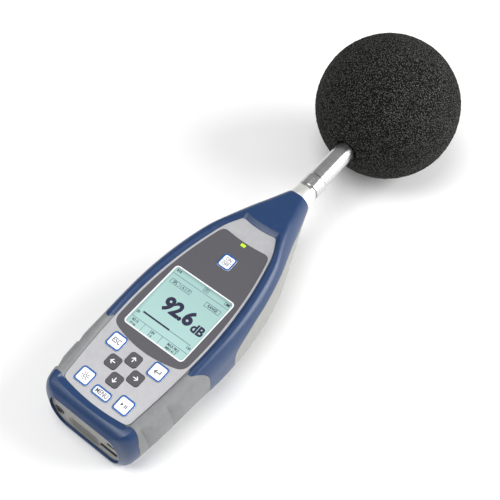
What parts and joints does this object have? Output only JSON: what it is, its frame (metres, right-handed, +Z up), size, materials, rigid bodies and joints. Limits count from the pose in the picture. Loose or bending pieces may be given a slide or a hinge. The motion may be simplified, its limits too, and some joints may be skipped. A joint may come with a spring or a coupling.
{
  "type": "sound level meter",
  "caption": "Hand-held sound level meter: tapered two-tone case with rubber grips, graphic display and keypad, slim metal stem to a half-inch microphone inside a foam ball windscreen",
  "frame": {"origin": "centre of the meter's box on the surface that it lies on", "axes": "+X to the right of the face, +Y from the tail towards the microphone, +Z up; the case lies face up, raised 5.3 degrees at the microphone end, on its tail edge and its foam ball"},
  "size_m": [0.09, 0.3156, 0.09],
  "materials": {
    "blue_shell": "satin moulded",
    "grey_back": "fine texture",
    "grip_rubber": "soft matte",
    "silver_face": "satin foil",
    "dark_bezel": "printed",
    "lcd_clear": "clear",
    "lcd_metal": "stamped",
    "lcd_face": "backlit",
    "light_guide": "clear white",
    "led": "lit",
    "key_white": "printed",
    "key_dark": "printed",
    "switch_black": "moulded",
    "circuit_board": "solder mask",
    "connector_black": "moulded",
    "tray_black": "moulded",
    "cell": "foil jacket",
    "contact": "nickel plate",
    "panel_grey": "moulded",
    "socket_metal": "nickel plate",
    "card_black": "moulded",
    "brass_bush": "turned",
    "screw_steel": "zinc plate",
    "collar_metal": "bead blasted",
    "contact_block": "moulded",
    "lead_black": "sleeve",
    "stem_metal": "satin",
    "mic_metal": "nickel",
    "insulator": "polished",
    "foam": "open-cell foam"
  },
  "bodies": {
    "case": {"front_shell": "blue_shell", "back_shell": "grey_back", "grip_left": "grip_rubber", "grip_right": "grip_rubber", "face_plate": "silver_face", "display_bezel": "dark_bezel", "lcd_window": "lcd_clear", "lcd_frame": "lcd_metal", "lcd_module": "lcd_face", "backlight": "light_guide", "status_led": "led", "tact_switches": "switch_black", "front_board": "circuit_board", "main_board": "circuit_board", "board_connector": "connector_black", "battery_tray": "tray_black", "batteries": "cell", "battery_contacts": "contact", "end_panel": "panel_grey", "output_jack": "socket_metal", "data_socket": "connector_black", "usb_socket": "socket_metal", "card_socket": "socket_metal", "tripod_insert": "brass_bush", "case_screws": "screw_steel", "neck_collar": "collar_metal", "preamp_socket": "contact_block", "preamp_lead": "lead_black"},
    "key_on_off": {"key_on_off": "key_white"},
    "key_esc": {"key_esc": "key_white"},
    "key_enter": {"key_enter": "key_white"},
    "key_up": {"key_up": "key_dark"},
    "key_down": {"key_down": "key_dark"},
    "key_left": {"key_left": "key_dark"},
    "key_right": {"key_right": "key_dark"},
    "key_backlight": {"key_backlight": "key_white"},
    "key_menu": {"key_menu": "key_white"},
    "key_run": {"key_run": "key_white"},
    "battery_door": {"battery_door": "grey_back"},
    "memory_card": {"memory_card": "card_black"},
    "preamp": {"preamp_plug": "stem_metal", "preamp_tube": "stem_metal", "preamp_board": "circuit_board"},
    "coupling_ring": {"coupling_ring": "collar_metal"},
    "mic": {"mic_housing": "mic_metal", "mic_insulator": "insulator", "mic_backplate": "mic_metal", "mic_diaphragm": "mic_metal", "mic_grid": "mic_metal"},
    "windscreen": {"windscreen": "foam"}
  },
  "joints": [
    {"name": "key_on_off_press", "type": "slide", "parent": "case", "child": "key_on_off", "axis": [0, 0.0928, -0.9957], "range_m": [0, 0.0004], "stiffness_N_per_m": 2000, "springref_m": -0.0002},
    {"name": "key_esc_press", "type": "slide", "parent": "case", "child": "key_esc", "axis": [0, 0.0928, -0.9957], "range_m": [0, 0.0004], "stiffness_N_per_m": 2000, "springref_m": -0.0002},
    {"name": "key_enter_press", "type": "slide", "parent": "case", "child": "key_enter", "axis": [0, 0.0928, -0.9957], "range_m": [0, 0.0004], "stiffness_N_per_m": 2000, "springref_m": -0.0002},
    {"name": "key_up_press", "type": "slide", "parent": "case", "child": "key_up", "axis": [0, 0.0928, -0.9957], "range_m": [0, 0.0004], "stiffness_N_per_m": 2000, "springref_m": -0.0002},
    {"name": "key_down_press", "type": "slide", "parent": "case", "child": "key_down", "axis": [0, 0.0928, -0.9957], "range_m": [0, 0.0004], "stiffness_N_per_m": 2000, "springref_m": -0.0002},
    {"name": "key_left_press", "type": "slide", "parent": "case", "child": "key_left", "axis": [0, 0.0928, -0.9957], "range_m": [0, 0.0004], "stiffness_N_per_m": 2000, "springref_m": -0.0002},
    {"name": "key_right_press", "type": "slide", "parent": "case", "child": "key_right", "axis": [0, 0.0928, -0.9957], "range_m": [0, 0.0004], "stiffness_N_per_m": 2000, "springref_m": -0.0002},
    {"name": "key_backlight_press", "type": "slide", "parent": "case", "child": "key_backlight", "axis": [0, 0.0928, -0.9957], "range_m": [0, 0.0004], "stiffness_N_per_m": 2000, "springref_m": -0.0002},
    {"name": "key_menu_press", "type": "slide", "parent": "case", "child": "key_menu", "axis": [0, 0.0928, -0.9957], "range_m": [0, 0.0004], "stiffness_N_per_m": 2000, "springref_m": -0.0002},
    {"name": "key_run_press", "type": "slide", "parent": "case", "child": "key_run", "axis": [0, 0.0928, -0.9957], "range_m": [0, 0.0004], "stiffness_N_per_m": 2000, "springref_m": -0.0002},
    {"name": "battery_door_open", "type": "hinge", "parent": "case", "child": "battery_door", "pos_m": [0, -0.13639, 0.0027], "axis": [-1, 0, 0], "range_deg": [0, 75]},
    {"name": "memory_card_slide", "type": "slide", "parent": "case", "child": "memory_card", "axis": [0, -0.9994, -0.0342], "range_m": [0, 0.014]},
    {"name": "preamp_slide", "type": "slide", "parent": "case", "child": "preamp", "axis": [0, 0.9957, 0.0928], "range_m": [0, 0.02]},
    {"name": "coupling_ring_turn", "type": "hinge", "parent": "preamp", "child": "coupling_ring", "pos_m": [0, 0.03459, 0.03772], "axis": [0, 0.9957, 0.0928], "range_deg": [0, 720]},
    {"name": "mic_unscrew", "type": "hinge", "parent": "preamp", "child": "mic", "pos_m": [0, 0.1023, 0.04403], "axis": [0, 0.9957, 0.0928], "range_deg": [0, 1440]},
    {"name": "windscreen_slide", "type": "slide", "parent": "preamp", "child": "windscreen", "axis": [0, 0.9957, 0.0928], "range_m": [0, 0.05]}
  ]
}
